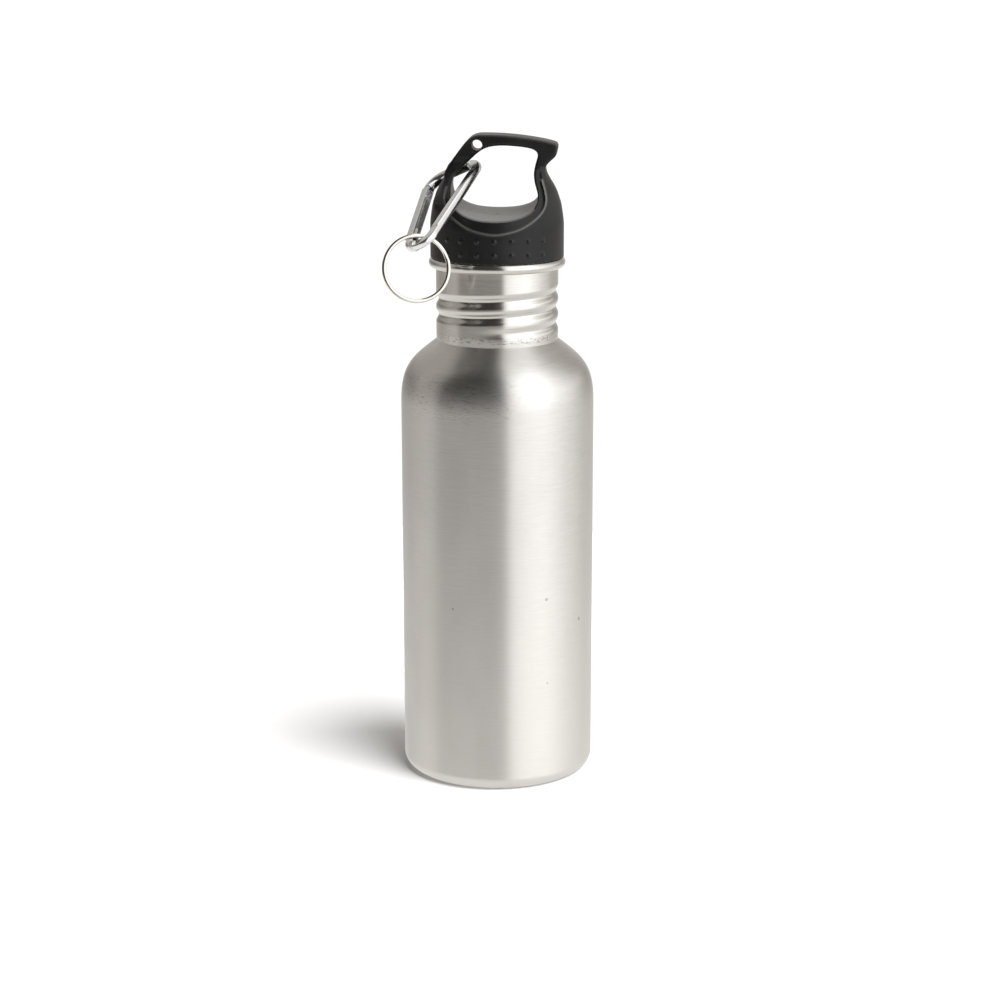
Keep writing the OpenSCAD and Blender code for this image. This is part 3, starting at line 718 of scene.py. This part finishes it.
world = bpy.data.worlds.new("studio")
sc.world = world
world.use_nodes = True
wt = world.node_tree
for n_ in list(wt.nodes):
    wt.nodes.remove(n_)
out = wt.nodes.new("ShaderNodeOutputWorld")
bg = wt.nodes.new("ShaderNodeBackground")
bgc = wt.nodes.new("ShaderNodeBackground")
bgc.inputs[0].default_value = (1, 1, 1, 1)
bgc.inputs[1].default_value = 1.05
lp = wt.nodes.new("ShaderNodeLightPath")
mx = wt.nodes.new("ShaderNodeMixShader")
wt.links.new(lp.outputs["Is Camera Ray"], mx.inputs[0])
wt.links.new(bg.outputs[0], mx.inputs[1])
wt.links.new(bgc.outputs[0], mx.inputs[2])
wt.links.new(mx.outputs[0], out.inputs[0])
tc = wt.nodes.new("ShaderNodeTexCoord")
sp = wt.nodes.new("ShaderNodeSeparateXYZ")
wt.links.new(tc.outputs["Generated"], sp.inputs[0])
neg = math_n(wt, "MULTIPLY", sp.outputs[1], -1.0)
az = math_n(wt, "ARCTAN2", sp.outputs[0], neg)
pos = remap(wt, az, -math.pi, math.pi, 0, 1)
ramp = wt.nodes.new("ShaderNodeValToRGB")
wt.links.new(pos, ramp.inputs[0])
stops = [(-180, 0.80), (-155, 0.30), (-128, 0.20), (-104, 0.38), (-84, 0.44), (-72, 0.05), (9, 0.05), (16, 1.6), (30, 1.85), (56, 2.1), (67, 1.9), (78, 1.6),
         (91, 1.15), (105, 0.9), (123, 0.5), (150, 0.42), (180, 0.80)]
el = ramp.color_ramp.elements
while len(el) > 1:
    el.remove(el[-1])
el[0].position = 0
S = 2.0
el[0].color = (stops[0][1] / S,) * 3 + (1,)
for d, v in stops[1:]:
    e = el.new(d / 360 + 0.5)
    e.color = (v / S,) * 3 + (1,)
up = remap(wt, sp.outputs[2], 0.78, 0.92, 1, 0, True)
down = remap(wt, sp.outputs[2], -0.36, -0.05, 0, 1, True)      # 0 where the white table lies
lum = math_n(wt, "MULTIPLY", math_n(wt, "MULTIPLY", ramp.outputs[0], S), down)
lum = math_n(wt, "ADD", lum, math_n(wt, "MULTIPLY", math_n(wt, "SUBTRACT", 1.0, down), 0.97))
# overhead: dark to the left of the seam, a lamp to the right of it
side = math_n(wt, "ADD", math_n(wt, "MULTIPLY", sp.outputs[0], math.cos(math.radians(12))), math_n(wt, "MULTIPLY", sp.outputs[1], math.sin(math.radians(12))))
over = remap(wt, side, -0.02, 0.10, 0.06, 1.25, True)
# a tall bank of light at the right, seen only by what faces a little upwards
bank = math_n(wt, "MULTIPLY", remap(wt, az, math.radians(78), math.radians(90), 0, 1, True), remap(wt, az, math.radians(122), math.radians(140), 1, 0, True))
bank = math_n(wt, "MULTIPLY", bank, math_n(wt, "MULTIPLY", remap(wt, sp.outputs[2], 0.03, 0.09, 0, 1, True), remap(wt, sp.outputs[2], 0.22, 0.34, 1, 0, True)))
lum = math_n(wt, "ADD", lum, math_n(wt, "MULTIPLY", bank, 0.4))
# and a faint one behind on the left, above the horizon
left = math_n(wt, "MULTIPLY", remap(wt, az, math.radians(-172), math.radians(-156), 0, 1, True), remap(wt, az, math.radians(-112), math.radians(-96), 1, 0, True))
lum = math_n(wt, "ADD", lum, math_n(wt, "MULTIPLY", math_n(wt, "MULTIPLY", left, remap(wt, sp.outputs[2], 0.10, 0.28, 0, 1, True)), 0.22))
lum = math_n(wt, "ADD", math_n(wt, "MULTIPLY", lum, up), math_n(wt, "MULTIPLY", math_n(wt, "SUBTRACT", 1.0, up), over))
wt.links.new(lum, bg.inputs[1])
wt.links.new(mix_col(wt, remap(wt, lum, 0.3, 1.3, 0, 1), (1.05, 0.99, 0.925), (1.0, 1.0, 0.99)), bg.inputs[0])


def sun(name, strength, angle, az_deg, el_deg, glossy):
    d = bpy.data.lights.new(name, "SUN")
    d.energy = strength
    d.angle = math.radians(angle)
    o = bpy.data.objects.new(name, d)
    a, e = math.radians(az_deg), math.radians(el_deg)
    v = Vector((math.sin(a) * math.cos(e), -math.cos(a) * math.cos(e), math.sin(e)))
    o.rotation_euler = v.to_track_quat("Z", "Y").to_euler()
    sc.collection.objects.link(o)
    o.visible_glossy = glossy
    return o


sun("key", 4.0, 44, 52, 58, False)
sc.view_settings.view_transform = "Standard"
